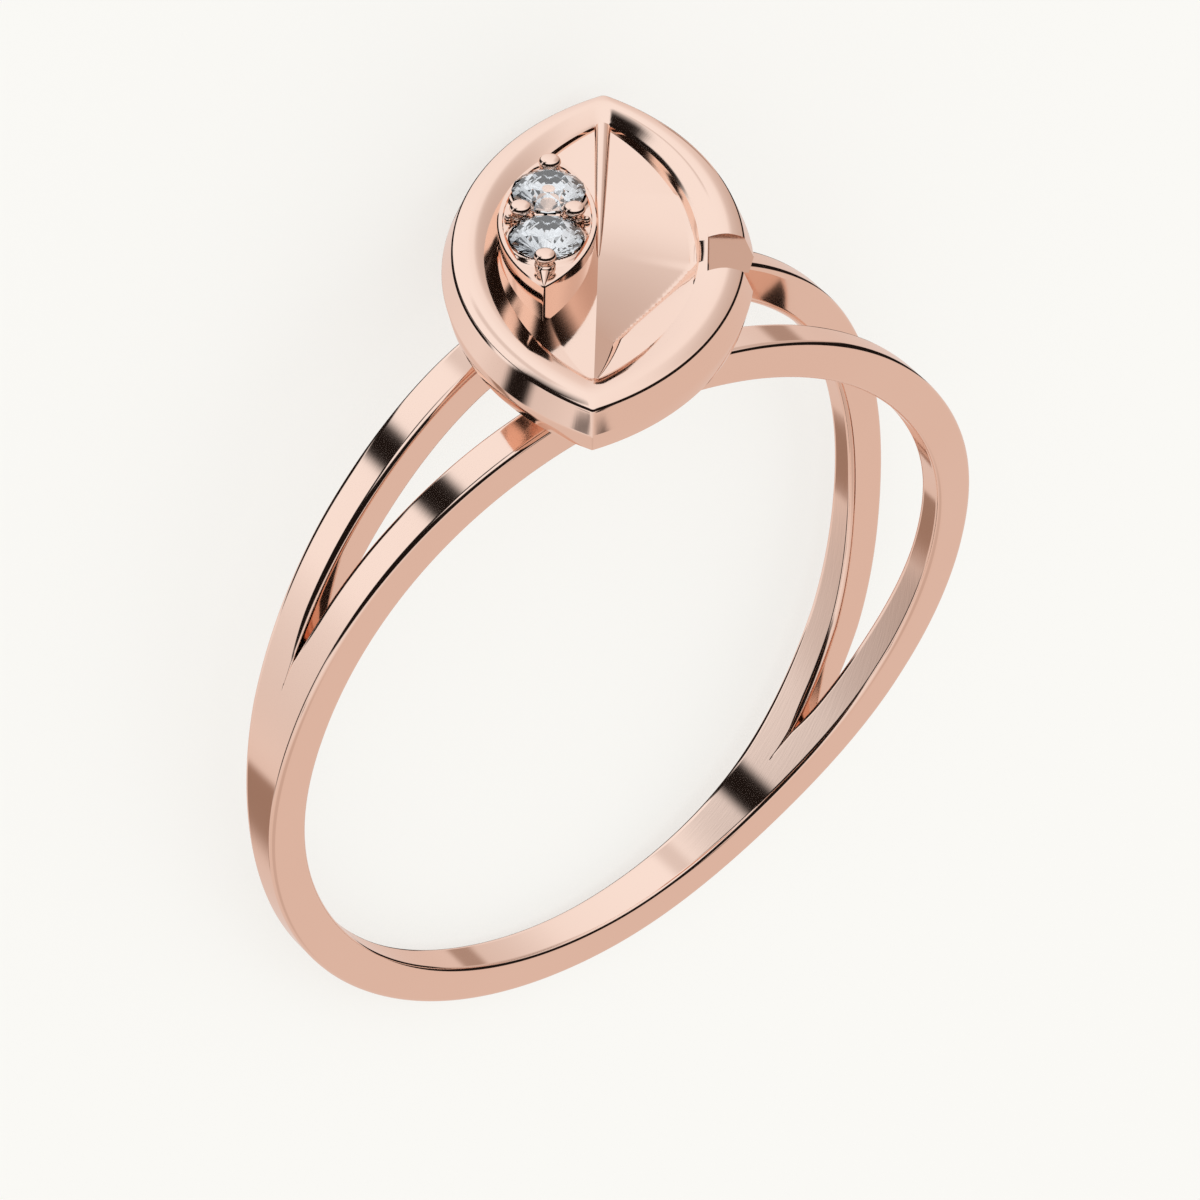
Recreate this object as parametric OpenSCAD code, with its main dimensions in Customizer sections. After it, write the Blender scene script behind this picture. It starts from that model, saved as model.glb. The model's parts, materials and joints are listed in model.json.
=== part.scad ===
// A split shank ring: a thin band parts into two strands that carry a pointed oval head.
// The head is a domed rim round a shallow folded cup, with two small round stones on a raised plate.
// Everything is drawn as worn, then laid on its side the way it rests on a table.
// Worn: X to the wearer's right, Y along the finger, Z up through the head.

/* [Shank] */
// Inside diameter, where the finger goes
finger_d = 16.5; // [15:0.1:18]
// Radial thickness of the band and of both strands
shank_t = 0.92; // [0.8:0.02:1.1]
// Width of one strand where the band is split
strand_w = 0.88; // [0.8:0.02:0.95]
// Width over both strands where they are furthest apart
spread = 4.1; // [3.9:0.1:4.3]
// Chamfer along the edges of the band
edge_c = 0.13; // [0.08:0.01:0.18]

/* [Head] */
// Length of the head from tip to tip
head_l = 10.1; // [9.9:0.1:10.5]
// Width of the head across its middle
head_w = 6.54; // [6.3:0.02:6.8]
// Width of the domed rim
rim_w = 1.16; // [1.1:0.01:1.22]
// Height of the domed rim above its widest edge
rim_h = 0.72; // [0.65:0.01:0.8]
// Height of the rim's lower edge above the finger's centre
rim_z = 10.8; // [10.5:0.1:11]
// Angle from the wearer's right to the head's long axis
head_turn = 51.3; // [45:0.1:55]
// Width of the notch cut across the rim
notch_w = 1.05; // [0.9:0.05:1.3]
// Depth of the cup below the inner edge of the rim
cup_depth = 0.45; // [0.4:0.05:0.6]
// Width of the rounded ridge that runs down the cup from the rear tip
ridge_w = 0.34; // [0.28:0.02:0.4]

/* [Setting] */
// Diameter of each round stone
stone_d = 1.56; // [1.4:0.02:1.6]
// Spacing of the two stones
stone_step = 1.68; // [1.64:0.02:1.72]
// Length of the raised plate that carries the stones
plate_l = 4.8; // [4.6:0.1:5]
// Width of the raised plate
plate_w = 2.1; // [2:0.05:2.2]
// Lean of the plate towards the rear tip
plate_lean = 7.5; // [6:0.5:10]
// Diameter of a prong
prong_d = 0.44; // [0.4:0.02:0.46]

/* [Hidden] */
$fn = 48;

gold = [0.90, 0.68, 0.58];
diamond = [0.93, 0.95, 0.97];

bore_r = finger_d / 2;
outer_r = bore_r + shank_t;
gap = 0.03;

// Edges of the shank along the finger, a row for each station round the hoop.
// Columns: angle from the head in degrees, front edge and rear edge as shares of the spread,
// strand width as a share of the full one
station = [
    [-180, -0.127, 0.110, 1.00],
    [-150, -0.115, 0.098, 1.00],
    [-120, -0.095, 0.080, 1.00],
    [-95, -0.088, 0.117, 1.00],
    [-70, -0.122, 0.249, 1.00],
    [-40, -0.168, 0.429, 1.00],
    [-10, -0.251, 0.585, 1.00],
    [20, -0.346, 0.595, 0.96],
    [45, -0.390, 0.585, 0.86],
    [70, -0.410, 0.600, 0.76],
    [95, -0.334, 0.537, 0.80],
    [120, -0.241, 0.373, 0.98],
    [150, -0.139, 0.180, 1.00],
    [180, -0.127, 0.110, 1.00],
];
stations = len(station) - 1;

// The split runs over the top from the left crotch to the right one.
crotch_left = -60;
crotch_right = 138;
crotch_half = 0.03;
opening_half = 0.05;
hoop_step = 4;
split_step = 6;
hole_start = 52;
over = 1;

head_x = 0.39;
head_y = 0.84;
outer_shift = -0.13;
notch_s = -0.17;
side_steps = 14;

// Where the ring touches the table: an angle of the band and a corner of the rim's underside
rest_angle = -164;
rest_corner = 2;

// Rim section from the underside up to the inner crease.
// Columns: inset from the widest edge as a share of the rim's width, height above it as a share of its height
rim_section = [
    [0.08, -0.62],
    [0.00, 0.00],
    [0.09, 0.37],
    [0.18, 0.69],
    [0.33, 0.88],
    [0.55, 1.00],
    [0.78, 0.90],
    [1.00, 0.63],
];
crease_z = rim_z + rim_h * rim_section[7][1];
cup_wall = 0.12;
cup_inset = 0.02;
cup_end = 0.08;
crest_part = 0.35;
trough_bias = 0.35;
cup_along = 16;
cup_across = 12;
gallery_w = 2.2;
gallery_l = 4.6;
notch_wall = 0.2;

plate_s = 0.52;
plate_t = 1.08;
plate_shift = -0.1;
plate_lift = 0.85;
plate_z = rim_z + plate_lift;
plate_h = 0.72;
seat_lift = 0.06;
prong_h = 0.13;
prong_grip = 0.1;
bead_part = 1.05;
side_prong = 0.56;
culet_r = 0.02;

crown_h = 0.15 * stone_d;
girdle_h = 0.03 * stone_d;
pavilion_h = 0.43 * stone_d;
table_r = 0.28 * stone_d;
bezel_r = 0.39 * stone_d;
bezel_part = 0.72;

// Value in one column of the table by a Catmull-Rom curve through the stations
function row(i) = station[(i + stations) % stations];
function curve(p0, p1, p2, p3, f) =
    p1 + 0.5 * f * (p2 - p0 + f * (2 * p0 - 5 * p1 + 4 * p2 - p3 + f * (3 * (p1 - p2) + p3 - p0)));
function section_of(a) = max([for (i = [0 : stations - 1]) if (a >= station[i][0]) i]);
function edge(a, column) =
    let (
        i = section_of(a),
        f = (a - station[i][0]) / (station[i + 1][0] - station[i][0])
    )
    curve(row(i - 1)[column], row(i)[column], row(i + 1)[column], row(i + 2)[column], f);
function front_edge(a) = spread * edge(a, 1);
function rear_edge(a) = spread * edge(a, 2);
function width_at(a) = strand_w * edge(a, 3);

// A point of the hoop at an angle from the head
function hoop_point(a, r, y) = [r * sin(a), y, r * cos(a)];

// Half width of a pointed oval at a place along its length
function oval_r(half_w, half_l) = (half_w * half_w + half_l * half_l) / (2 * half_w);
function oval_half(half_w, half_l, s) =
    let (r = oval_r(half_w, half_l)) sqrt(r * r - s * s) - r + half_w;

// Points round a pointed oval, evenly spread in angle along its two arcs
function oval_ring(half_w, half_l, z) =
    let (
        r = oval_r(half_w, half_l),
        reach = asin(half_l / r)
    )
    concat(
        [for (i = [0 : side_steps - 1]) let (b = reach * (1 - 2 * i / side_steps))
            [r * sin(b), r * cos(b) - r + half_w, z]],
        [for (i = [0 : side_steps - 1]) let (b = reach * (1 - 2 * i / side_steps))
            [-r * sin(b), -r * cos(b) + r - half_w, z]]);

// A stack of rings with equal numbers of points. Each ring runs counter-clockwise seen from the last one.
// A closed stack joins its last ring to its first, and any other is capped by its two end rings.
function flat_points(rings) = [for (ring = rings) each ring];
function side_faces(n, m, joins) =
    [for (j = [0 : joins - 1], i = [0 : n - 1])
        let (k = (j + 1) % m) [j * n + i, k * n + i, k * n + (i + 1) % n, j * n + (i + 1) % n]];
function end_faces(n, m) =
    [[for (i = [0 : n - 1]) i], [for (i = [n - 1 : -1 : 0]) (m - 1) * n + i]];

module ring_stack(rings, closed = false) {
    n = len(rings[0]);
    m = len(rings);
    faces = closed ? side_faces(n, m, m) : concat(side_faces(n, m, m - 1), end_faces(n, m));
    polyhedron(points = flat_points(rings), faces = faces);
}

// Worn frame of the head: s along its length, t across it
module at_head() {
    translate([head_x, head_y, 0]) rotate([0, 0, head_turn]) children();
}

// Frame of the plate: its top face is the plane z = 0
module at_plate() {
    at_head() translate([plate_s, plate_t, plate_z]) rotate([0, plate_lean, 0]) children();
}

// The whole hoop, from the front edge to the rear edge, with chamfered corners
function hoop_section(a) =
    let (
        f = front_edge(a),
        b = rear_edge(a),
        r0 = bore_r - edge_c,
        r1 = outer_r
    )
    [
        hoop_point(a, r0, b - edge_c),
        hoop_point(a, bore_r + edge_c, b),
        hoop_point(a, r1 - edge_c, b),
        hoop_point(a, r1, b - edge_c),
        hoop_point(a, r1, f + edge_c),
        hoop_point(a, r1 - edge_c, f),
        hoop_point(a, bore_r + edge_c, f),
        hoop_point(a, r0, f + edge_c),
    ];

module hoop() {
    ring_stack([for (a = [-180 : hoop_step : 180 - hoop_step]) hoop_section(a)], closed = true);
}

// The opening between the two strands
function split_section(a, pinch) =
    let (
        f = front_edge(a) + width_at(a),
        b = rear_edge(a) - width_at(a),
        mid = (f + b) / 2,
        half = pinch ? crotch_half : max(opening_half, (b - f) / 2),
        r0 = bore_r - over,
        r1 = outer_r + over
    )
    [
        hoop_point(a, r0, mid + half),
        hoop_point(a, r1, mid + half),
        hoop_point(a, r1, mid - half),
        hoop_point(a, r0, mid - half),
    ];

module split() {
    n = ceil((crotch_right - crotch_left) / split_step);
    ring_stack([for (i = [0 : n]) let (a = crotch_left + (crotch_right - crotch_left) * i / n)
        split_section(a, i == 0 || i == n)]);
}

module shank() {
    difference() {
        hoop();
        split();
    }
}

// Head: gallery, underside, flank and dome of the rim as one stack of pointed ovals
function shifted(ring, s) = [for (p = ring) p + [s, 0, 0]];
function head_ring(p) =
    let (inset = rim_w * p[0])
    shifted(
        oval_ring(head_w / 2 - inset, head_l / 2 - inset, rim_z + rim_h * p[1]),
        outer_shift * (1 - p[0])
    );

module head_block() {
    underside = rim_z + rim_h * rim_section[0][1];
    gallery = [for (z = [bore_r - over, underside]) oval_ring(gallery_w / 2, gallery_l / 2, z)];
    ring_stack(concat(gallery, [for (p = rim_section) head_ring(p)]));
}

// Floor of the cup: two troughs, one each side of a crest along the middle.
// s runs along the cup, and q goes from 0 on the crest to 1 at the rim.
cup_half_w = head_w / 2 - rim_w - cup_inset;
cup_half_l = head_l / 2 - rim_w - cup_inset;
function trough(q) = pow(sin(180 * q), 2) * (1 - trough_bias * q);
function cup_floor(s, q) =
    let (p = s / cup_half_l)
    crease_z - cup_wall - cup_depth * (1 - p * p) * (crest_part + (1 - crest_part) * trough(q));

module cup() {
    top = crease_z + over;
    reach = cup_half_l - cup_end;
    rows = [for (i = [0 : cup_along])
        let (s = reach * (2 * i / cup_along - 1), b = oval_half(cup_half_w, cup_half_l, s))
        concat(
            [for (j = [0 : cup_across]) let (q = 2 * j / cup_across - 1) [s, b * q, cup_floor(s, abs(q))]],
            [[s, b, top], [s, -b, top]])];
    ring_stack(rows);
}

// Rounded ridge on the crest, full width at the rear tip and fading out at the middle of the cup
module ridge() {
    rear = cup_half_l - cup_inset;
    rise = cup_floor(rear, 0) - cup_floor(0, 0);
    translate([0, 0, cup_floor(0, 0)]) rotate([0, atan2(rear, rise), 0])
        cylinder(h = norm([rear, rise]), r1 = culet_r, r2 = ridge_w / 2);
}

module notch() {
    t0 = head_w / 2 - rim_w + notch_wall;
    depth = crease_z - rim_z + 2 * over;
    translate([notch_s - notch_w / 2, -head_w, rim_z - over]) cube([notch_w, head_w - t0, depth]);
}

// Pointed oval prism with its top at z = 0
module oval_prism(half_w, half_l, h) {
    r = oval_r(half_w, half_l);
    translate([0, 0, -h]) linear_extrude(h) intersection() {
        translate([0, half_w - r]) circle(r);
        translate([0, r - half_w]) circle(r);
    }
}

module plate() {
    translate([plate_shift, 0, 0]) oval_prism(plate_w / 2, plate_l / 2, plate_h);
}

// Room for a stone with a small gap all round: pavilion, girdle and crown
module seat() {
    r = stone_d / 2 + gap;
    band_h = girdle_h + 2 * gap;
    translate([0, 0, seat_lift - pavilion_h - gap]) cylinder(h = pavilion_h + gap, r1 = culet_r, r2 = r);
    translate([0, 0, seat_lift - gap]) cylinder(h = band_h, r = r);
    translate([0, 0, seat_lift - gap + band_h]) cylinder(h = crown_h, r1 = r, r2 = table_r + gap);
}

// A post with a bead on top that holds a stone's edge
module prong() {
    translate([0, 0, -plate_h / 2]) cylinder(h = plate_h / 2 + prong_h, d = prong_d);
    translate([0, 0, prong_h]) sphere(d = prong_d * bead_part);
}

module prongs() {
    out = stone_step / 2 + stone_d / 2 + prong_grip;
    for (s = [-out, out]) translate([s, 0, 0]) prong();
    for (t = [-side_prong, side_prong]) translate([0, t, 0]) prong();
}

module head() {
    at_head() {
        difference() {
            head_block();
            cup();
            notch();
        }
        ridge();
    }
}

module setting() {
    at_plate() difference() {
        union() {
            plate();
            prongs();
        }
        for (side = [-0.5, 0.5]) translate([side * stone_step, 0, 0]) seat();
    }
}

// The wall's own start angle lies between the head and the right crotch
module finger_hole() {
    rotate([90, 0, 0]) rotate([0, 0, hole_start])
        cylinder(h = 2 * head_l, r = bore_r, center = true, $fn = 96);
}

// Round stone: a table, sixteen crown facets in two rows, a girdle
// and sixteen pavilion facets to a small culet
facets = 16;
function stone_ring(r, z) =
    [for (i = [0 : facets - 1]) let (a = i * 360 / facets) [r * cos(a), r * sin(a), z]];

module stone() {
    ring_stack([
        stone_ring(culet_r, -pavilion_h),
        stone_ring(stone_d / 2, 0),
        stone_ring(stone_d / 2, girdle_h),
        stone_ring(bezel_r, girdle_h + crown_h * bezel_part),
        stone_ring(table_r, girdle_h + crown_h),
    ]);
}

module stone_at(side) {
    at_plate() translate([side * stone_step, 0, seat_lift]) stone();
}

// Lying on its side, the ring touches the table along the rear edge of the band
// and under the rear of the rim.
function worn_head(p) = [
    head_x + p[0] * cos(head_turn) - p[1] * sin(head_turn),
    head_y + p[0] * sin(head_turn) + p[1] * cos(head_turn),
    p[2],
];
function unit(v) = v / norm(v);
function band_foot(a) = hoop_point(a, outer_r - edge_c, rear_edge(a));
foot_a = band_foot(rest_angle);
foot_b = band_foot(rest_angle + hoop_step);
foot_tip = worn_head(head_ring(rim_section[0])[rest_corner]);
up = unit(cross(foot_tip - foot_a, foot_b - foot_a));
ahead = unit([0, 0, 1] - up[2] * up);
right = cross(ahead, up);

// The origin is on the table, below the middle of the ring's outline as it lies.
outline = concat(
    [for (a = [-180 : hoop_step : 180 - hoop_step]) each hoop_section(a)],
    [for (p = rim_section, q = head_ring(p)) worn_head(q)]);
function middle(v) = let (w = [for (p = outline) p * v]) (min(w) + max(w)) / 2;

module lay() {
    multmatrix([
        [right[0], right[1], right[2], -middle(right)],
        [ahead[0], ahead[1], ahead[2], -middle(ahead)],
        [up[0], up[1], up[2], -foot_a * up],
        [0, 0, 0, 1],
    ]) children();
}

module ring_body() {
    color(gold) lay() difference() {
        union() {
            shank();
            head();
            setting();
        }
        finger_hole();
    }
}

module stone_front() {
    color(diamond) lay() stone_at(-0.5);
}

module stone_rear() {
    color(diamond) lay() stone_at(0.5);
}

ring_body();
stone_front();
stone_rear();
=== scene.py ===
# %% [markdown]
# # A split shank ring in Blender
#
# The ring is one piece of polished rose gold with two small round stones. Its band parts into two
# strands, which carry a pointed oval head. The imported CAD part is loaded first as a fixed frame.
# Every surface below is then worked out with numpy in the ring's own worn frame: X to the wearer's
# right, Y along the finger and Z up through the head, in millimetres. One last step lays it on its
# side, where the frame lies, and turns millimetres into metres.

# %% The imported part
import json

import bmesh
import bpy
import numpy as np
from mathutils import Matrix


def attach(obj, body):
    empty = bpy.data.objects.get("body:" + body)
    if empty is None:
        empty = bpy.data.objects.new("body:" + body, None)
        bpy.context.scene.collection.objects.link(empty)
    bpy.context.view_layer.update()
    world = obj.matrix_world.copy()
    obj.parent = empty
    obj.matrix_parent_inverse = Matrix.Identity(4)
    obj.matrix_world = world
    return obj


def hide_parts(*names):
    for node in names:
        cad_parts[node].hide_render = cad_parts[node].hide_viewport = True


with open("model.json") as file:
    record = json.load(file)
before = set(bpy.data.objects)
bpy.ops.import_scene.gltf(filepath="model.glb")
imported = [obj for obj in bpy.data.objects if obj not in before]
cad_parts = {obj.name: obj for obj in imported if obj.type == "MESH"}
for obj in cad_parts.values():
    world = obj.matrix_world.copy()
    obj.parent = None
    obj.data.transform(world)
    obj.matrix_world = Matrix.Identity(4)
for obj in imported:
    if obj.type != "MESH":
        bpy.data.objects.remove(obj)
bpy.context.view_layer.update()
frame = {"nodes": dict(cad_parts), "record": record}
finger = next(m for m in frame["record"]["mounts"] if m["name"] == "finger")
print("CAD nodes:", sorted(frame["nodes"]))

# %% [markdown]
# ## From the finger to the table
#
# The record's finger hole gives two things: its inside radius, and the direction of the finger as
# the ring lies. The head's direction is square to that and has no X part, because the ring was laid
# down by a turn about the band's width. Three unit vectors are enough to carry any worn point over.

# %% The worn frame
MM = 0.001
BORE = finger["dims"]["r_mm"]
MOUNT_Y = 0.39  # the mount's place along the finger


def unit(vector):
    """A vector divided by its own length."""
    return np.asarray(vector, float) / np.linalg.norm(vector)


along_finger = -unit(finger["axis"])
to_head = unit((0, -along_finger[2], along_finger[1]))
to_side = np.cross(along_finger, to_head)
WORN = np.array([to_side, along_finger, to_head])
WORN_ORIGIN = np.array(finger["pos_m"]) / MM - MOUNT_Y * along_finger


def laid(points):
    """Worn millimetres to metres on the table: x, y and z times the three worn directions, plus the
    origin."""
    return (np.asarray(points, float) @ WORN + WORN_ORIGIN) * MM


print("finger direction:", np.round(along_finger, 4), "bore centre, mm:", np.round(WORN_ORIGIN, 3))

# %% [markdown]
# ## Sizes
#
# These are the driving sizes of the ring. They repeat the ones of the CAD model, so each dressed
# surface falls on its solid. The table holds the two edges of the shank round the hoop as shares of
# the spread.

# %% Driving sizes, in millimetres
SHANK_T = 0.92
OUTER = BORE + SHANK_T
STRAND_W = 0.88
SPREAD = 4.1
EDGE_ROUND = 0.13
CROTCHES = (-60, 138)

HEAD_L, HEAD_W = 10.1, 6.54
RIM_W, RIM_H, RIM_Z = 1.16, 0.72, 10.8
HEAD_TURN = 51.3
HEAD_AT = (0.39, 0.84)
OUTER_SHIFT = -0.13
NOTCH_W, NOTCH_S, NOTCH_WALL = 1.05, -0.17, 0.2
CUP_WALL = 0.07

STONE_D, STONE_STEP = 1.56, 1.68
PLATE_L, PLATE_W = 4.8, 2.1
PLATE_S, PLATE_T, PLATE_Z = 0.52, 1.08, RIM_Z + 0.85
PLATE_SHIFT = -0.1
PLATE_LEAN = 7.5
SEAT_LIFT = 0.06
PRONG_D, SIDE_PRONG, PRONG_GRIP = 0.44, 0.56, 0.1

# Columns: angle from the head, front edge, rear edge, share of the full strand width
STATION = np.array([
    [-180, -0.127, 0.110, 1.00],
    [-150, -0.115, 0.098, 1.00],
    [-120, -0.095, 0.080, 1.00],
    [-95, -0.088, 0.117, 1.00],
    [-70, -0.122, 0.249, 1.00],
    [-40, -0.168, 0.429, 1.00],
    [-10, -0.251, 0.585, 1.00],
    [20, -0.346, 0.595, 0.96],
    [45, -0.390, 0.585, 0.86],
    [70, -0.410, 0.600, 0.76],
    [95, -0.334, 0.537, 0.80],
    [120, -0.241, 0.373, 0.98],
    [150, -0.139, 0.180, 1.00],
    [180, -0.127, 0.110, 1.00],
])

# %% [markdown]
# ## Small tools for meshes
#
# A surface here is a grid: rows of points, each row a copy of the same outline at another place.
# A whole grid of quads comes from one block of index arithmetic, with no loop over vertices. Ends
# and seams are closed, doubles are merged and the normals recalculated, so each piece is a closed
# shell. Edges sharper than a given angle are marked, which keeps polished faces flat up to them.

# %% Grids into meshes
SHARP = np.radians(28)


def quads(rows, columns, wrap_rows, wrap_columns):
    """Faces of a grid: each joins a point, its neighbour in the row, and the same two in the next row."""
    r = np.arange(rows if wrap_rows else rows - 1)[:, None]
    c = np.arange(columns if wrap_columns else columns - 1)[None, :]
    r1, c1 = (r + 1) % rows, (c + 1) % columns
    corners = [r * columns + c, r * columns + c1, r1 * columns + c1, r1 * columns + c]
    return np.stack(corners, -1).reshape(-1, 4)


def mesh_piece(name, parts, material, sharp=SHARP):
    """One object from several closed shells, each given as (points in worn mm, list of faces)."""
    build = bmesh.new()
    for points, faces in parts:
        shell = bpy.data.meshes.new(name)
        shell.from_pydata(laid(points), [], faces)
        shell.validate()
        build.from_mesh(shell)
        bpy.data.meshes.remove(shell)
    bmesh.ops.remove_doubles(build, verts=build.verts, dist=2e-7)
    bmesh.ops.dissolve_degenerate(build, edges=build.edges, dist=1e-7)
    bmesh.ops.recalc_face_normals(build, faces=build.faces)
    mesh = bpy.data.meshes.new(name)
    build.to_mesh(mesh)
    build.free()
    mesh.shade_smooth()
    mesh.set_sharp_from_angle(angle=sharp)
    mesh.materials.append(material)
    piece = bpy.data.objects.new(name, mesh)
    bpy.context.scene.collection.objects.link(piece)
    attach(piece, "root")
    print(f"{name}: {len(mesh.polygons)} faces")
    return piece


def grid_part(points, wrap_rows=False, wrap_columns=True, caps=True):
    """A grid as (points, faces). Where the rows don't wrap, the first and the last row are capped."""
    rows, columns = points.shape[:2]
    faces = quads(rows, columns, wrap_rows, wrap_columns).tolist()
    if caps and not wrap_rows:
        faces.append(list(range(columns)))
        faces.append(list(range((rows - 1) * columns, rows * columns))[::-1])
    return points.reshape(-1, 3), faces


def smooth_line(knots, steps):
    """A Catmull-Rom curve through the knots: a cubic between each two, its slope taken from their
    neighbours."""
    k = np.vstack([2 * knots[0] - knots[1], knots, 2 * knots[-1] - knots[-2]])
    f = np.linspace(0, 1, steps, endpoint=False)[None, :, None]
    p0, p1, p2, p3 = (k[i:len(k) - 3 + i, None, :] for i in range(4))
    curve = p1 + 0.5 * f * (p2 - p0 + f * (2 * p0 - 5 * p1 + 4 * p2 - p3 + f * (3 * (p1 - p2) + p3 - p0)))
    return np.vstack([curve.reshape(-1, knots.shape[1]), knots[-1:]])


def ease(x):
    """0 below 0, 1 above 1, and 3x² - 2x³ between them."""
    x = np.clip(x, 0, 1)
    return x * x * (3 - 2 * x)


# %% [markdown]
# ## Polished rose gold
#
# Rose gold is gold with copper. Polished, it is a mirror with a warm tint, so nearly all of what
# the eye sees is the studio round it. What a plain mirror lacks is the trace of the polishing
# wheel: faint fine lines and a slightly uneven gloss. Two noises give the material these, one
# stretched along the finger for the lines and one soft for the gloss.

# %% Shader sums written as Python
class Wire:
    """A socket of a node tree. +, - and * on wires or numbers add Math nodes."""

    def __init__(self, tree, socket):
        self.tree = tree
        self.socket = socket

    def node(self, kind, settings=None, **values):
        """A node of a kind, its settings first, then values or wires for its sockets by name."""
        made = self.tree.nodes.new(kind)
        for key, value in (settings or {}).items():
            setattr(made, key, value)
        for key, value in values.items():
            by_number = key[0] == "i" and key[1:].isdigit()
            socket = made.inputs[int(key[1:]) if by_number else key.replace("_", " ")]
            if isinstance(value, Wire):
                self.tree.links.new(value.socket, socket)
            else:
                socket.default_value = value
        return made

    def math(self, operation, a, b=0.0):
        """One Math node."""
        return Wire(self.tree, self.node("ShaderNodeMath", {"operation": operation}, i0=a, i1=b).outputs[0])

    def noise(self, scale, detail):
        """Cloudy noise over the places on this wire."""
        made = self.node("ShaderNodeTexNoise", Vector=self, Scale=scale, Detail=detail)
        return Wire(self.tree, made.outputs["Fac"])

    def size(self):
        """The value without its sign."""
        return self.math("ABSOLUTE", self)

    def __add__(self, other):
        return self.math("ADD", self, other)

    def __sub__(self, other):
        return self.math("SUBTRACT", self, other)

    def __rsub__(self, other):
        return self.math("SUBTRACT", other, self)

    def __mul__(self, other):
        return self.math("MULTIPLY", self, other)

    __radd__ = __add__
    __rmul__ = __mul__


def new_material(name):
    """A material with an empty tree but for its shader, and a wire on the place on the object in metres."""
    material = bpy.data.materials.new(name)
    material.use_nodes = True
    tree = material.node_tree
    shader = next(n for n in tree.nodes if n.type == "BSDF_PRINCIPLED")
    place = tree.nodes.new("ShaderNodeTexCoord")
    return material, tree, shader, Wire(tree, place.outputs["Object"])


# %% Rose gold
GOLD_TINT = (0.93, 0.70, 0.585, 1)
GOLD_DEEP = (0.90, 0.655, 0.54, 1)


def rose_gold(name, roughness=0.055):
    """Metal whose tint drifts a little, with a gloss that varies from place to place and fine wheel lines."""
    material, tree, shader, place = new_material(name)
    drift = place.noise(240.0, 2.0)
    tint = place.node("ShaderNodeMix", {"data_type": "RGBA"}, Factor=drift)
    tint.inputs["A"].default_value = GOLD_TINT
    tint.inputs["B"].default_value = GOLD_DEEP
    tree.links.new(tint.outputs["Result"], shader.inputs["Base Color"])
    stretch = place.node("ShaderNodeMapping", Vector=place)
    stretch.inputs["Scale"].default_value = (1.0, 1.0, 14.0)
    lines = Wire(tree, stretch.outputs[0]).noise(1800.0, 3.0)
    gloss = roughness + drift * 0.03 + lines * 0.02
    tree.links.new(gloss.socket, shader.inputs["Roughness"])
    bump = place.node("ShaderNodeBump", Height=lines, Strength=0.02, Distance=0.00001)
    tree.links.new(bump.outputs[0], shader.inputs["Normal"])
    shader.inputs["Metallic"].default_value = 1.0
    return material


gold = rose_gold("rose_gold_polished")


# %% [markdown]
# ## Clear stones
#
# A brilliant works by refraction at the crown and total reflection at the pavilion, so the crown is
# clear glass with diamond's index of 2.42 and no colour of its own. The facets do the rest. The
# pavilion's total reflection is given to it as a mirror finish, so that no metal shows through.

# %% Diamond
def clear_stone(name):
    """Clear refracting crystal. A very faint noise in the gloss stands for wiped-off dust."""
    material, tree, shader, place = new_material(name)
    dust = place.noise(3000.0, 2.0)
    tree.links.new((dust * 0.012).socket, shader.inputs["Roughness"])
    shader.inputs["Base Color"].default_value = (1.0, 1.0, 1.0, 1)
    shader.inputs["Transmission Weight"].default_value = 1.0
    shader.inputs["IOR"].default_value = 2.42
    return material


diamond = clear_stone("diamond_clear")


def pavilion_mirror(name):
    """A silvery mirror for the pavilion, a little uneven from facet to facet like the rest of the stone."""
    material, tree, shader, place = new_material(name)
    spots = place.noise(2600.0, 1.0)
    tree.links.new((spots * 0.02).socket, shader.inputs["Roughness"])
    shader.inputs["Base Color"].default_value = (0.93, 0.95, 0.97, 1)
    shader.inputs["Metallic"].default_value = 1.0
    return material


pavilion = pavilion_mirror("diamond_pavilion")

# %% [markdown]
# ## The shank
#
# Two strands run the whole way round. At the back they lie against each other and read as one band,
# and at the crotches their inner edges turn away and let a gap open. Each strand is a rounded
# rectangle carried round the finger. Its inner corners have no rounding where the strands touch, and
# take the full rounding within a few degrees of the crotch.

# %% Edges of the shank
def table(angle, column):
    """A Catmull-Rom curve through one column of the table, closed on itself, at any angles in degrees."""
    i = np.clip(np.searchsorted(STATION[:, 0], angle, side="right") - 1, 0, len(STATION) - 2)
    f = (angle - STATION[i, 0]) / (STATION[i + 1, 0] - STATION[i, 0])
    p0, p1, p2, p3 = (STATION[(i + k) % (len(STATION) - 1), column] for k in (-1, 0, 1, 2))
    return p1 + 0.5 * f * (p2 - p0 + f * (2 * p0 - 5 * p1 + 4 * p2 - p3 + f * (3 * (p1 - p2) + p3 - p0)))


TURN = np.linspace(-180, 180, 540, endpoint=False)
front_edge = SPREAD * table(TURN, 1)
rear_edge = SPREAD * table(TURN, 2)
strand_width = STRAND_W * table(TURN, 3)
half_gap = np.maximum(0, (rear_edge - front_edge) / 2 - strand_width)
half_gap[(TURN < CROTCHES[0]) | (TURN > CROTCHES[1])] = 0
middle = (front_edge + rear_edge) / 2
print(f"widest gap between the strands: {2 * half_gap.max():.2f} mm")


# %% A strand
CORNER_STEPS = 6
FLAT_LEAD = 0.03  # share of a side at which its shading turns flat


def corner(r0, y0, radius, start):
    """A quarter circle of the section: r0 + radius cos φ and y0 + radius sin φ, with φ from the start
    over 90 degrees."""
    phi = np.radians(start + np.linspace(0, 90, CORNER_STEPS + 1))[None, :]
    return np.stack(np.broadcast_arrays(r0[:, None] + radius[:, None] * np.cos(phi),
                                        y0[:, None] + radius[:, None] * np.sin(phi)), -1)


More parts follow.
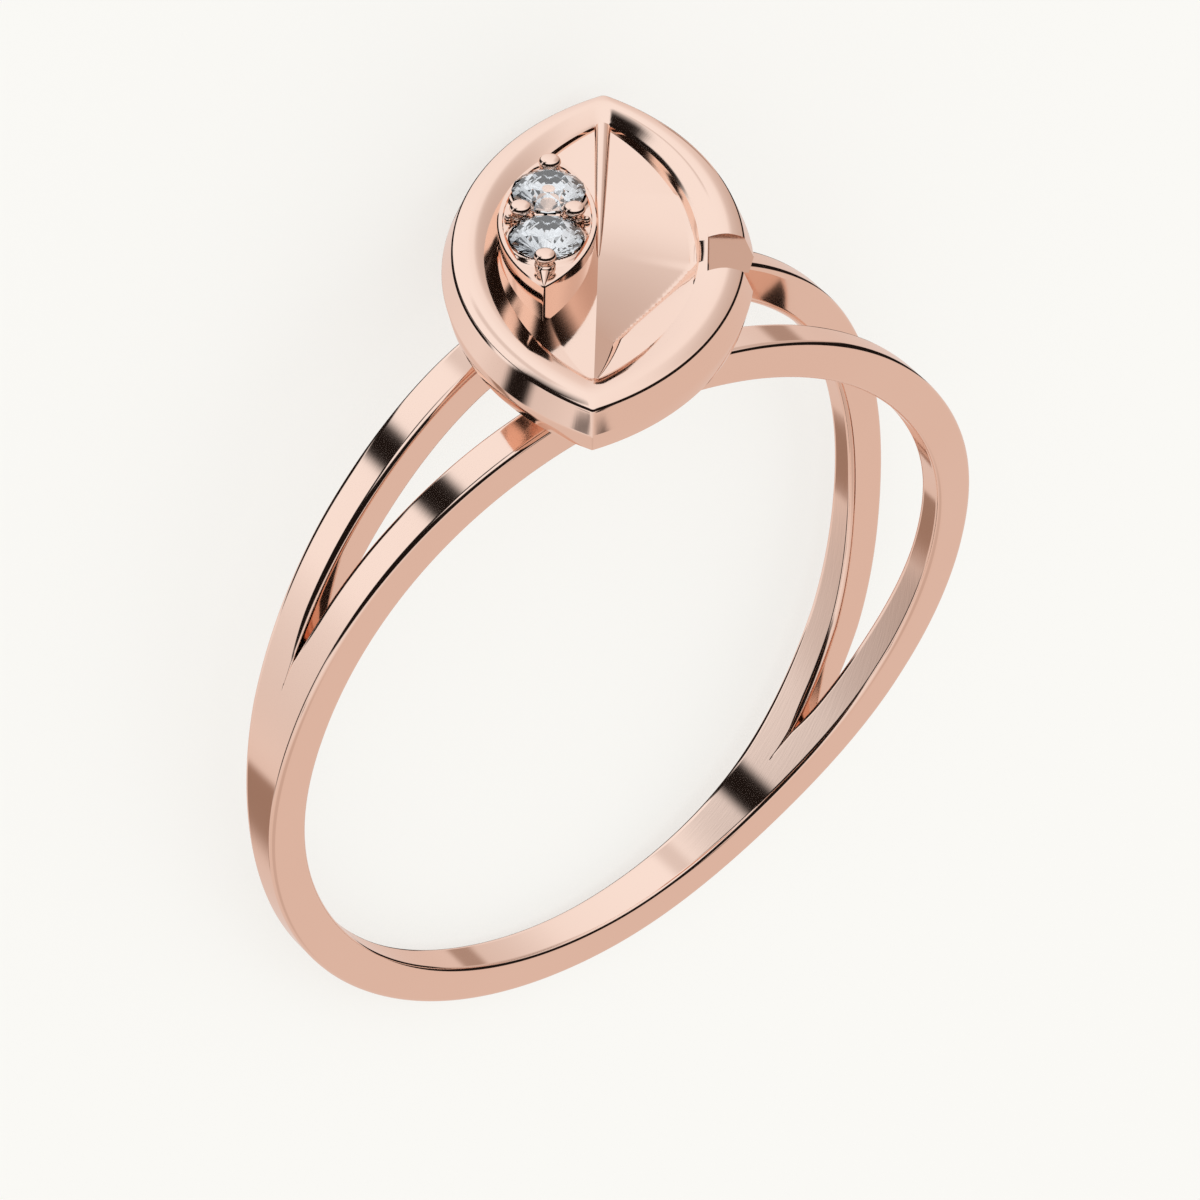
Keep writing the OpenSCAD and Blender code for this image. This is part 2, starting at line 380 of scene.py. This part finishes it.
def strand(front, rear, front_round, rear_round):
    """A rounded rectangle between two edges, carried round the hoop: (r sin a, y, r cos a). Two more
    points close to the corners keep each side's shading flat."""
    inner = np.full_like(front, BORE)
    outer = np.full_like(front, OUTER)
    section = np.concatenate([
        corner(outer - rear_round, rear - rear_round, rear_round, 0),
        corner(inner + rear_round, rear - rear_round, rear_round, 90),
        corner(inner + front_round, front + front_round, front_round, 180),
        corner(outer - front_round, front + front_round, front_round, 270),
    ], 1)
    corners = np.split(section, 4, axis=1)
    sides = []
    for this, following in zip(corners, corners[1:] + corners[:1]):
        end, start = this[:, -1:], following[:, :1]
        sides += [this, end + FLAT_LEAD * (start - end), start + FLAT_LEAD * (end - start)]
    section = np.concatenate(sides, 1)
    a = np.radians(TURN)[:, None]
    r, y = section[..., 0], section[..., 1]
    return grid_part(np.stack([r * np.sin(a), y, r * np.cos(a)], -1), wrap_rows=True)


ROUND_LEAD = 5  # degrees before a crotch at which the inner corners start to round
ROUND_SPAN = 12  # degrees over which they come to the full rounding
past_first = ease((TURN - CROTCHES[0] + ROUND_LEAD) / ROUND_SPAN)
before_last = ease((CROTCHES[1] + ROUND_LEAD - TURN) / ROUND_SPAN)
open_edge = EDGE_ROUND * past_first * before_last
full_edge = np.full_like(TURN, EDGE_ROUND)
shank = mesh_piece("shank", [
    strand(front_edge, middle - half_gap, full_edge, open_edge),
    strand(middle + half_gap, rear_edge, open_edge, full_edge),
], gold)

# %% [markdown]
# ## The head
#
# The rim is a pointed oval, two arcs that meet at the tips. A real casting has no perfectly sharp
# tip, so each outline has a small tip circle tangent to both arcs. Its radius is small low on the
# flank, where the mitre reads as a crisp bright edge, and larger on the dome.

# %% Outline of a pointed oval
ARC_STEPS, TIP_STEPS = 70, 12


def oval(half_w, half_l, tip, start_s=0.0, end_s=0.0, shift=0.0):
    """Points round a pointed oval with tip circles, as an open path from start_s on the side -t, past the
    front tip, back along +t and round the rear tip to end_s. With R the radius of the long arcs,
    R = ((L - tip)² + w² - tip²) / (2 (w - tip)), and their centres lie at t = ±(R - w)."""
    R = ((half_l - tip) ** 2 + half_w ** 2 - tip ** 2) / (2 * (half_w - tip))
    tip_s = half_l - tip
    reach = np.arctan2(tip_s, R - half_w)
    first = np.arcsin((start_s - shift) / R)
    last = np.arcsin((end_s - shift) / R)

    def arc(side, b0, b1, steps):
        b = np.linspace(b0, b1, steps)
        return np.stack([R * np.sin(b), side * (R * np.cos(b) - R + half_w)], -1)

    def round_tip(end, steps=TIP_STEPS):
        b = np.linspace(reach, np.pi - reach, steps)[1:-1]
        b = b if end > 0 else b - np.pi
        return np.stack([end * tip_s + tip * np.sin(b), tip * np.cos(b)], -1)

    path = np.vstack([
        arc(-1, first, -reach, ARC_STEPS),
        round_tip(-1),
        arc(1, -reach, reach, 2 * ARC_STEPS),
        round_tip(1),
        arc(-1, reach, last, ARC_STEPS),
    ])
    return path + [shift, 0]


def head_place(points):
    """Head frame to worn frame: a turn about Z by the head's angle, then a shift to its centre."""
    c, s = np.cos(np.radians(HEAD_TURN)), np.sin(np.radians(HEAD_TURN))
    turned = points @ np.array([[c, s, 0], [-s, c, 0], [0, 0, 1]])
    return turned + [*HEAD_AT, 0]


# %% [markdown]
# ### Rim
#
# The rim's section goes up a short base wall, over the flank and the dome, and down to the crease at
# the cup. It is carried from one side of the notch round both tips to the other side, and both of
# its ends are capped by flat faces.

# %% Rim
# Columns: inset as a share of the rim's width, height as a share of the rim's height
DOME = np.array([
    [0.000, 0.000], [0.055, 0.232], [0.110, 0.464], [0.150, 0.634], [0.164, 0.694], [0.177, 0.735],
    [0.199, 0.773], [0.229, 0.803], [0.293, 0.842], [0.362, 0.875], [0.431, 0.900], [0.500, 0.910],
    [0.603, 0.892], [0.707, 0.843], [0.810, 0.778], [0.914, 0.704], [1.000, 0.630],
])
FOOT_HEIGHT = -0.62
TIP_LOW, TIP_GAIN, TIP_LOSS = 0.07, 0.33, 0.12  # radius of the tip circles, low and towards the crown
CROWN_AT = 0.6  # share of the rim's width at which they are largest
CREASE_Z = RIM_Z + RIM_H * DOME[-1, 1]


def rim_outline(inset, tip, start_s, end_s):
    """The head's outline at an inset from its widest edge."""
    shift = OUTER_SHIFT * (1 - inset / RIM_W)
    return oval(HEAD_W / 2 - inset, HEAD_L / 2 - inset, tip, start_s, end_s, shift)


def rim_part():
    """Rows are places round the head, columns the closed section."""
    dome = smooth_line(DOME, 4)
    tips = TIP_LOW + TIP_GAIN * ease(dome[:, 0] / CROWN_AT)
    tips = tips - TIP_LOSS * ease((dome[:, 0] - CROWN_AT) / (1 - CROWN_AT))
    section = np.vstack([
        [[1.05, FOOT_HEIGHT, 0.2], [0.08, FOOT_HEIGHT, 0.06]],
        np.column_stack([dome, tips]),
        [[1.03, DOME[-1, 1] - 0.3, 0.25]],
    ])
    ends = NOTCH_S - NOTCH_W / 2, NOTCH_S + NOTCH_W / 2
    columns = []
    for inset, height, tip in section:
        path = rim_outline(inset * RIM_W, tip, *ends)
        columns.append(np.column_stack([path, np.full(len(path), RIM_Z + RIM_H * height)]))
    return grid_part(head_place(np.stack(columns, 1)))


INNER_ARC = 4.76  # radius of the crease's long arcs


def notch_wall():
    """The thin inner wall left standing across the notch: a bar with the rim's own inner section."""
    s = np.linspace(NOTCH_S - NOTCH_W / 2 - 0.1, NOTCH_S + NOTCH_W / 2 + 0.1, 16)
    inner_half = HEAD_W / 2 - RIM_W
    bow = inner_half - s ** 2 / (2 * INNER_ARC)
    outer = np.full_like(s, inner_half + NOTCH_WALL)
    top = RIM_Z + RIM_H * np.interp(1 - NOTCH_WALL / RIM_W, DOME[:, 0], DOME[:, 1])
    foot = RIM_Z + RIM_H * FOOT_HEIGHT
    ring = [
        (outer, foot), (outer, top - 0.03), (outer - 0.03, top),
        (bow, CREASE_Z), (bow - 0.05, CREASE_Z - 0.1), (bow - 0.05, foot),
    ]
    columns = [np.column_stack([s, -t, np.full_like(s, z)]) for t, z in ring]
    return grid_part(head_place(np.stack(columns, 1)))


rim = mesh_piece("head_rim", [rim_part(), notch_wall()], gold, sharp=np.radians(35))

# %% [markdown]
# ### Cup
#
# Inside the rim the metal folds down like a leaf: two hollow faces, one each side of a crest. From
# the crest each face falls evenly to a valley's line and rises again to the rim, and the whole
# floor comes up towards the tips. On the open side a short steep step lies beyond the line and
# fades out behind the middle. On the plate's side the valley is shallow and has no step.

# %% Cup floor
CREST_DEPTH, VALLEY_DEPTH = 0.10, 0.40
PLATE_SIDE = 0.3  # how deep the valley under the plate is, as a share of the other one
REAR_SHALLOW = 0.25  # how deep the valley is towards the rear tip, as a share of its front
REAR_FROM, REAR_FULL = 0, 0.5  # the shares along the cup between which it gets so shallow
LINE_ALONG, LINE_OUT = (-0.62, 0.05), (0.25, 0.93)  # two places that the open side's line runs through
PLATE_LINE = 0.55  # how far out the line lies on the plate's side
STEP_W, STEP_H = 0.26, 0.22  # the steep step beyond the line
STEP_END, STEP_FADE = 0.3, 0.4  # where along the cup the step ends, and over what length it fades
LEAST_STEP, LEAST_RISE = 0.001, 0.01  # these keep the two divisions finite
CUP_W, CUP_L = HEAD_W / 2 - RIM_W + 0.02, HEAD_L / 2 - RIM_W + 0.02


def floor_height(s, q, side=-1):
    """crease - wall - (1 - p²) (crest depth + fall), with p the share along the cup and q the share from
    the crest out to the rim. The fall grows evenly from the crest to the valley's line, drops back over
    the step and then evenly to nothing at the rim. On the open side the line lies close to the rim
    behind the middle and runs in to the crest towards the front tip."""
    p = np.clip(s / CUP_L, -1, 1)
    under_plate = np.asarray(side) > 0
    line = np.where(under_plate, PLATE_LINE, np.interp(p, LINE_ALONG, LINE_OUT))
    drop = np.where(under_plate, 0, STEP_H * ease((STEP_END - p) / STEP_FADE))
    step = np.where(under_plate, 0, STEP_W / CUP_W) + LEAST_STEP
    shallow = np.interp(p, [REAR_FROM, REAR_FULL], [1, REAR_SHALLOW])
    deep = VALLEY_DEPTH * shallow * np.where(under_plate, PLATE_SIDE, 1)
    back = np.clip((q - line - step) / np.maximum(1 - line - step, LEAST_RISE), 0, 1)
    fall = deep * np.minimum(q / line, 1) - drop * ease((q - line) / step) - (deep - drop) * back
    return CREASE_Z - CUP_WALL - (1 - p * p) * (CREST_DEPTH + fall)


FLOOR_ROWS = 41


def cup_part():
    """Rows go from the middle line out to the rim, then down its wall and in again under the head."""
    path = oval(CUP_W, CUP_L, 0.25)
    share = np.linspace(0, 1, FLOOR_ROWS)[:, None]
    s = np.broadcast_to(path[:, 0], (FLOOR_ROWS, len(path)))
    floor = np.stack([s, share * path[:, 1], floor_height(s, share, path[:, 1])], -1)
    foot = RIM_Z + RIM_H * FOOT_HEIGHT
    under = np.stack([path[:, 0], path[:, 1], np.full(len(path), foot)], -1)
    centre = under * [1, 0, 1]
    points = np.concatenate([floor, under[None], centre[None]])
    return grid_part(head_place(points), caps=False)


RIDGE_R, RIDGE_END = 0.17, 0.1  # its radius at the rear tip, and how far it runs past the middle
RIDGE_ROWS = 40
ROUND_STEPS = 20


def ridge_part():
    """A round bar on the crest that thins from the rear tip to the middle of the cup."""
    s = np.linspace(CUP_L - 0.05, -RIDGE_END, RIDGE_ROWS)[:, None]
    radius = RIDGE_R * np.sqrt(np.clip((s + RIDGE_END) / CUP_L, 0, 1)) + 0.002
    phi = np.linspace(0, 2 * np.pi, ROUND_STEPS, endpoint=False)[None, :]
    across = radius * np.cos(phi)
    z = floor_height(s, 0) + radius * np.sin(phi)
    return grid_part(head_place(np.stack([np.broadcast_to(s, z.shape), across, z], -1)))


PEDESTAL_W, PEDESTAL_L = 2.2, 4.6


def pedestal_part():
    """The hidden pointed oval that joins the head to both strands. Its foot follows the finger hole."""
    path = oval(PEDESTAL_W / 2, PEDESTAL_L / 2, 0.1)
    top = head_place(np.column_stack([path, np.full(len(path), RIM_Z)]))
    foot = top.copy()
    foot[:, 2] = np.sqrt((BORE + 0.01) ** 2 - foot[:, 0] ** 2)
    return grid_part(np.stack([foot, top]))


cup = mesh_piece("head_cup", [cup_part(), ridge_part(), pedestal_part()], gold)


# %% [markdown]
# ## Plate, seats and prongs
#
# The raised plate stands in the cup like a small boat with nearly upright sides. Its top has a flat
# border, a fine step down to a recess, and a cone seat sunk under each stone, with the metal drawn up to the
# stone's edge. Four prongs stand on it, each a turned profile: a foot, a waist and a domed bead that
# laps over a stone's edge. Small beads beside them are what the graver leaves.

# %% Plate
# The flat border's width and the step inside it, the recess's half length and where its ends begin, the
# depths of the skirt's bend and foot, and the collar's width, height and the slope of the seats
BORDER, STEP_DOWN = 0.13, 0.035
RECESS_L, RECESS_TURN = 2.05, 1.85
SLAB_H, FOOT_DEPTH = 0.50, 1.05
COLLAR, COLLAR_TOP, SEAT_SLOPE = 0.14, 0.05, 0.90
RECESS_RINGS = 56


def plate_place(points):
    """Plate frame to worn frame: leaned about t, moved to its place on the head, then placed with the
    head."""
    c, s = np.cos(np.radians(PLATE_LEAN)), np.sin(np.radians(PLATE_LEAN))
    leaned = points @ np.array([[c, 0, -s], [0, 1, 0], [s, 0, c]])
    return head_place(leaned + [PLATE_S, PLATE_T, PLATE_Z])


def recess_outline(path):
    """The outline's arcs moved in by the border; past the turn they close in a quarter ellipse on the
    prongs."""
    R = (PLATE_L ** 2 + PLATE_W ** 2) / (4 * PLATE_W)
    s = path[:, 0] * RECESS_L / path[:, 0].max()
    half = np.sqrt(R * R - s * s) - (R - PLATE_W / 2) - BORDER
    past = np.clip((np.abs(s) - RECESS_TURN) / (RECESS_L - RECESS_TURN), 0, 1)
    return np.column_stack([s, np.sign(path[:, 1]) * half * np.sqrt(1 - past ** 2)])


def recess_floor(s, t):
    """-step, plus a collar that rises to the stones' edge, and inside that edge a cone that falls inwards."""
    r = np.minimum.reduce([np.hypot(s - side * STONE_STEP, t) for side in (-0.5, 0.5)]) - STONE_D / 2 - 0.02
    collar = (COLLAR_TOP + STEP_DOWN) * ease(1 - r / COLLAR)
    return -STEP_DOWN + collar + SEAT_SLOPE * np.minimum(r, 0)


def plate_part():
    """Rings from under the foot, out and up round the skirt, in over the border and down into the recess."""
    path = oval(PLATE_W / 2, PLATE_L / 2, 0.05)
    recess = recess_outline(path)
    rings = [
        (path * [0.96, 0.0], -FOOT_DEPTH), (path * [0.96, 0.9], -FOOT_DEPTH), (path * [0.98, 0.95], -SLAB_H),
        (path, -0.03), (path * [0.99, 0.972], 0.0),
        (recess * [1.01, 1.02], 0.0), (recess, -STEP_DOWN),
    ]
    points = [np.column_stack([ring, np.full(len(ring), z)]) for ring, z in rings]
    for share in np.linspace(0.985, 0, RECESS_RINGS):
        ring = recess * [1, share]
        points.append(np.column_stack([ring, recess_floor(ring[:, 0] + PLATE_SHIFT, ring[:, 1])]))
    return grid_part(plate_place(np.stack(points) + [PLATE_SHIFT, 0, 0]), caps=False)


# %% Prongs
# Columns: radius as a share of the prong's, height above the plate in mm
PRONG = np.array([
    [1.00, -0.30], [1.02, 0.00], [0.92, 0.08], [0.92, 0.13], [1.07, 0.20], [1.06, 0.25],
    [0.88, 0.305], [0.52, 0.335], [0.02, 0.345],
])
POST_STEPS = 32


def turned(line, s, t, lean_s=0.0):
    """A line of radii and heights swept round a post at (s, t); lean_s stretches it along s."""
    phi = np.linspace(0, 2 * np.pi, POST_STEPS, endpoint=False)[None, :]
    across = t + line[:, :1] * np.sin(phi)
    z = np.broadcast_to(line[:, 1:], across.shape)
    return grid_part(plate_place(np.stack([s + (1 + lean_s) * line[:, :1] * np.cos(phi), across, z], -1)))


def bead_part(s, t, radius, height, lean_s=0.0):
    """Half of an egg on the plate: radius cos a and height sin a, from below the plate up to its top."""
    a = np.linspace(-0.5, np.pi / 2 - 0.05, 12)
    return turned(np.column_stack([radius * np.cos(a), height * np.sin(a)]), s, t, lean_s)


def prong_part(s, t):
    """The prong's own profile, smoothed."""
    return turned(smooth_line(PRONG, 5) * [PRONG_D / 2, 1], s, t)


CONE_FROM, CONE_TO = 1.93, 2.38
CONE_R, CONE_TIP_R, CONE_FLAT = 0.12, 0.012, 0.8


def tip_ridge(side):
    """A cone that lies on the plate from the end prong to the plate's tip."""
    s = np.linspace(CONE_FROM, CONE_TO, 12)[:, None]
    radius = np.interp(s, [CONE_FROM, CONE_TO], [CONE_R, CONE_TIP_R])
    phi = np.linspace(0, 2 * np.pi, ROUND_STEPS, endpoint=False)[None, :]
    across = radius * np.cos(phi)
    along_s = np.broadcast_to(side * s + PLATE_SHIFT, across.shape)
    return grid_part(plate_place(np.stack([along_s, across, CONE_FLAT * radius * np.sin(phi)], -1)))


PRONG_OUT = STONE_STEP / 2 + STONE_D / 2 + PRONG_GRIP
BUMP_OUT = SIDE_PRONG + 0.26
SIDE_BEAD = (0.085, 0.10)  # radius and height of the small beads by the side prongs
END_BEAD = (0.165, 0.13, -0.2)  # and by the end prongs, which are shorter along the plate
setting_parts = [plate_part()]
for side in (-1, 1):
    setting_parts += [
        prong_part(side * PRONG_OUT, 0), prong_part(0, side * SIDE_PRONG),
        bead_part(-0.08, side * BUMP_OUT, *SIDE_BEAD),
        bead_part(side * (PRONG_OUT + 0.2), 0, *END_BEAD),
        tip_ridge(side),
    ]
setting = mesh_piece("plate_and_prongs", setting_parts, gold)

# %% [markdown]
# ## Brilliants
#
# A round brilliant has eight sides. The crown has a table, eight star facets, eight kites and
# sixteen girdle facets, and the pavilion has eight long mains between sixteen halves. All of it
# follows from five rings of points, so the facets are planes through three or four of them.

# %% Stones
def brilliant_part(side):
    """Rings from the table down: 8 table corners, 8 star points, 16 girdle tops, 16 girdle feet, 8 lower
    points and the culet, each ring turned by half a step against its neighbour."""
    R = STONE_D / 2

    def ring(count, radius, z, turn=0.0):
        a = 2 * np.pi * (np.arange(count) + turn) / count
        return np.column_stack([radius * np.cos(a), radius * np.sin(a), np.full(count, z)])

    girdle = 0.025 * STONE_D
    crown = 0.15 * STONE_D
    flat_top = ring(8, 0.55 * R, girdle + crown)
    star = ring(8, 0.78 * R, girdle + 0.56 * crown, 0.5)
    upper = ring(16, R, girdle)
    lower = ring(16, R, 0.0)
    halves = ring(8, 0.22 * R, -0.336 * STONE_D, 0.5)
    culet = [[0, 0, -0.43 * STONE_D]]
    points = np.vstack([flat_top, star, upper, lower, halves, culet])
    k = np.arange(8)
    n = (k + 1) % 8
    T, S, U, L, H, C = 0, 8, 16, 32, 48, 56
    faces = [list(range(8))]
    faces += np.column_stack([T + k, S + k, T + n]).tolist()
    faces += np.column_stack([T + k, S + (k - 1) % 8, U + 2 * k, S + k]).tolist()
    faces += np.column_stack([S + k, U + 2 * k, U + 2 * k + 1]).tolist()
    faces += np.column_stack([S + k, U + 2 * k + 1, U + 2 * n]).tolist()
    g = np.arange(16)
    faces += np.column_stack([U + g, L + g, L + (g + 1) % 16, U + (g + 1) % 16]).tolist()
    faces += np.column_stack([L + 2 * k, H + k, L + 2 * k + 1]).tolist()
    faces += np.column_stack([L + 2 * k + 1, H + k, L + 2 * n]).tolist()
    faces += np.column_stack([L + 2 * k, H + (k - 1) % 8, np.full(8, C), H + k]).tolist()
    return plate_place(points + [side * STONE_STEP, 0, SEAT_LIFT]), faces


stones = [mesh_piece(name, [brilliant_part(side)], diamond, sharp=np.radians(1))
          for name, side in (("stone_front_cut", -0.5), ("stone_rear_cut", 0.5))]
PAVILION_FACETS = 24  # they come last in a stone's list of faces
for stone in stones:
    stone.data.shade_flat()
    stone.data.materials.append(pavilion)
    facet = np.arange(len(stone.data.polygons))
    in_pavilion = facet >= len(facet) - PAVILION_FACETS
    stone.data.polygons.foreach_set("material_index", in_pavilion.astype(np.int32))

# %% [markdown]
# ## What stands for what
#
# The dressed pieces take the place of the CAD solids, which stay for collision.

# %% Replacements
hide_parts("ring_body")
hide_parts("ring_body")
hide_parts("ring_body")
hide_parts("ring_body")
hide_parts("stone_front")
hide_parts("stone_rear")

# %% [markdown]
# ## Camera
#
# The photograph looks down on the head from about 45 degrees and from far away, with a long lens.
# The direction is given in the worn frame, because it was found by fitting the band's true circle.

# %% Camera
VIEW_AZIMUTH, VIEW_ELEVATION, VIEW_ROLL = np.radians([37.87, 45.50, -0.70])
VIEW_DISTANCE = 156.6
VIEW_OFFSET = (0.070, 1.217)
LENS = 214.6

forward = np.array([
    np.sin(VIEW_AZIMUTH) * np.cos(VIEW_ELEVATION),
    np.cos(VIEW_AZIMUTH) * np.cos(VIEW_ELEVATION),
    -np.sin(VIEW_ELEVATION),
])
level = np.array([np.cos(VIEW_AZIMUTH), -np.sin(VIEW_AZIMUTH), 0])
down = np.cross(forward, level)
sight = np.cos(VIEW_ROLL) * level + np.sin(VIEW_ROLL) * down
down = np.cross(forward, sight)
eye = -VIEW_DISTANCE * forward - VIEW_OFFSET[0] * sight - VIEW_OFFSET[1] * down
camera_data = bpy.data.cameras.new("camera")
camera_data.lens = LENS
camera_data.sensor_width = 36
camera_data.clip_start = 0.01
camera_data.clip_end = 10
camera = bpy.data.objects.new("camera", camera_data)
bpy.context.scene.collection.objects.link(camera)
turn = Matrix(np.column_stack([sight @ WORN, -down @ WORN, -forward @ WORN]).tolist()).to_4x4()
camera.matrix_world = Matrix.Translation(laid(eye).tolist()) @ turn
bpy.context.scene.camera = camera
print("camera at", np.round(laid(eye), 4))

# %% [markdown]
# ## Floor and light
#
# Polished metal has no shading of its own: its whole look is the room that it mirrors. Jewellery is
# shot in a white tent, bright on the side of the main lamp and warmer elsewhere, and form comes from
# a few dark cards, whose mirror images are the near-black lines on the faces. The tent is worked out
# from the direction alone, as a world shader, so no lamp or card stands in the way of another view.
#
# A card is hung for the front of the stage: its place is given by how a face leans that mirrors it
# to somebody standing there. It stays where it is in every other view. Strips, round windows and
# hoops are enough. The stones see a simpler tent, so that the hoops draw no lines inside them.

# %% Floor
PAPER = (0.956, 0.947, 0.913, 1)
FLOOR_HALF = 1.5  # metres
floor_mesh = bpy.data.meshes.new("floor")
floor_corners = [(x * FLOOR_HALF, y * FLOOR_HALF, 0) for x, y in ((-1, -1), (1, -1), (1, 1), (-1, 1))]
floor_mesh.from_pydata(floor_corners, [], [(0, 1, 2, 3)])
floor_piece = bpy.data.objects.new("floor", floor_mesh)
bpy.context.scene.collection.objects.link(floor_piece)
floor_material, _, floor_shader, _ = new_material("floor_paper")
floor_shader.inputs["Base Color"].default_value = (0.28, 0.28, 0.28, 1)
floor_shader.inputs["Roughness"].default_value = 0.9
floor_shader.inputs["Specular IOR Level"].default_value = 0.1
floor_shader.inputs["Emission Color"].default_value = PAPER
floor_shader.inputs["Emission Strength"].default_value = 0.72
floor_mesh.materials.append(floor_material)
floor_piece.visible_glossy = False
floor_piece.visible_transmission = False

# %% Directions and soft edges in the tent
tent = bpy.data.worlds.new("tent")
tent.use_nodes = True
tent_tree = tent.node_tree
sky = Wire(tent_tree, tent_tree.nodes.new("ShaderNodeTexCoord").outputs["Generated"])

FRONT = unit(-forward @ WORN)
LEVEL = unit(sight @ WORN)
UPRIGHT = unit(-down @ WORN)


def vector_node(operation, a, b=(0.0, 0.0, 0.0)):
    """One Vector Math node."""
    return sky.node("ShaderNodeVectorMath", {"operation": operation}, i0=a, i1=b)


# Half way between a place in the tent and the front of the stage: how a face leans that mirrors it
halfway = Wire(tent_tree, vector_node("ADD", sky, tuple(map(float, FRONT))).outputs["Vector"])
lean = Wire(tent_tree, vector_node("NORMALIZE", halfway).outputs["Vector"])


def facing(x, y):
    """The unit vector of a face that leans x to the right and y upwards, seen from the front."""
    return x * LEVEL + y * UPRIGHT + np.sqrt(max(1 - x * x - y * y, 0)) * FRONT


def along(vector):
    """The share of the lean that goes along a vector: their dot product."""
    return Wire(tent_tree, vector_node("DOT_PRODUCT", lean, tuple(map(float, vector))).outputs["Value"])


def fade(value, start, end):
    """0 at the start, 1 at the end and a smooth step between them."""
    return Wire(tent_tree, sky.node("ShaderNodeMapRange", {"interpolation_type": "SMOOTHSTEP"}, Value=value,
                                    From_Min=float(start), From_Max=float(end)).outputs[0])


def card(start, end, width, soft=1.0):
    """1 on a strip between two leans, (x, y) each, fading to 0 over its soft edge. Width and softness are
    in degrees."""
    a, b = facing(*start), facing(*end)
    reach = np.arccos(np.clip(a @ b, -1, 1)) / 2
    outer, inner = np.sin(np.radians([width / 2 + soft, max(width / 2 - soft, 0)]))
    strip = fade(along(unit(np.cross(a, b))).size(), outer, inner)
    ends = np.cos(reach + np.radians([2 * soft, 0]))
    return strip * fade(along(unit(a + b)), *ends)


def cards(path, width, soft=1.0):
    """The larger of the strips that join the leans of a path one after the other."""
    strips = [card(a, b, width, soft) for a, b in zip(path, path[1:])]
    whole = strips[0]
    for strip in strips[1:]:
        whole = whole.math("MAXIMUM", whole, strip)
    return whole


def tone(factor, low, high):
    """A colour between two, by a factor."""
    mix = sky.node("ShaderNodeMix", {"data_type": "RGBA"}, Factor=factor)
    for name, colour in (("A", low), ("B", high)):
        socket = next(i for i in mix.inputs if i.name == name and i.type == "RGBA")
        if isinstance(colour, Wire):
            tent_tree.links.new(colour.socket, socket)
        else:
            socket.default_value = colour
    return Wire(tent_tree, next(o for o in mix.outputs if o.type == "RGBA"))


# %% The tent
LAMP_SIDE = (1.04, 1.08, 1.12, 1)
WARM_SIDE = (0.78, 0.66, 0.61, 1)
STONE_BRIGHT = (1.05, 1.05, 1.05, 1)
STONE_DIM = (0.16, 0.16, 0.17, 1)
SHADE = (0.36, 0.25, 0.20, 1)
CARD = (0.012, 0.009, 0.008, 1)


def hoop(axis, radius, width, soft=1.5):
    """1 on a band at a radius round a lean."""
    distance = along(axis) - float(np.cos(np.radians(radius)))
    slope = np.sin(np.radians(radius))
    outer, inner = slope * np.radians([width / 2 + soft, max(width / 2 - soft, 0)])
    return fade(distance.size(), outer, inner)


def window(centre, radius, soft=5.0):
    """1 within a radius round a lean, and 0 further out."""
    return fade(along(facing(*centre)), *np.cos(np.radians([radius + soft, radius - soft])))


lamp = fade(along(facing(-0.30, 0.40)), 0.45, 0.99)
shades = [
    cards([(-0.80, -0.30), (-0.76, -0.52)], 5),
    cards([(0.30, 0.86), (0.38, 0.80)], 5) * 0.8,
    cards([(-0.24, 0.62), (-0.18, 0.54)], 3) * 0.35,
    window((0.0, -0.70), 14) * 0.3,
    window((0.42, 0.62), 11, 8) * 0.45,
    window((0.52, 0.12), 10) * 0.6,
    window((-0.62, -0.12), 9, 8) * 0.25,
]
darks = [
    cards([(-0.58, 0.56), (-0.41, 0.40), (-0.31, 0.24)], 5.5),
    hoop(to_head, 48, 22) * (1 - hoop(along_finger, 90, 9)),
    hoop(-along_finger, 85, 7) * window((-0.57, 0.10), 30),
    cards([(0.38, 0.10), (0.40, -0.33)], 3.0),
    cards([(-0.455, -0.315), (-0.43, -0.33)], 2.0) * 0.8,
]
light = tone(lamp, WARM_SIDE, LAMP_SIDE)
for shade in shades:
    light = tone(shade, light, SHADE)
stone_light = tone(darks[0], tone(lamp, STONE_DIM, STONE_BRIGHT), CARD)
for dark in darks:
    light = tone(dark, light, CARD)

# Only mirrored and refracted rays meet the tent; the camera and the paper see a plain wall.
wall = tent_tree.nodes["Background"]
wall.inputs["Color"].default_value = PAPER
rays = tent_tree.nodes.new("ShaderNodeLightPath").outputs
glossy, refracted = Wire(tent_tree, rays["Is Glossy Ray"]), Wire(tent_tree, rays["Is Transmission Ray"])
mirrored = sky.math("MAXIMUM", glossy, refracted)
tent_light = sky.node("ShaderNodeBackground", Color=tone(refracted, light, stone_light))
choice = sky.node("ShaderNodeMixShader", i0=mirrored, i1=Wire(tent_tree, wall.outputs[0]),
                  i2=Wire(tent_tree, tent_light.outputs[0]))
tent_tree.links.new(choice.outputs[0], tent_tree.nodes["World Output"].inputs["Surface"])
tent.cycles.sampling_method = "NONE"
bpy.context.scene.world = tent
bpy.context.scene.view_settings.view_transform = "Standard"
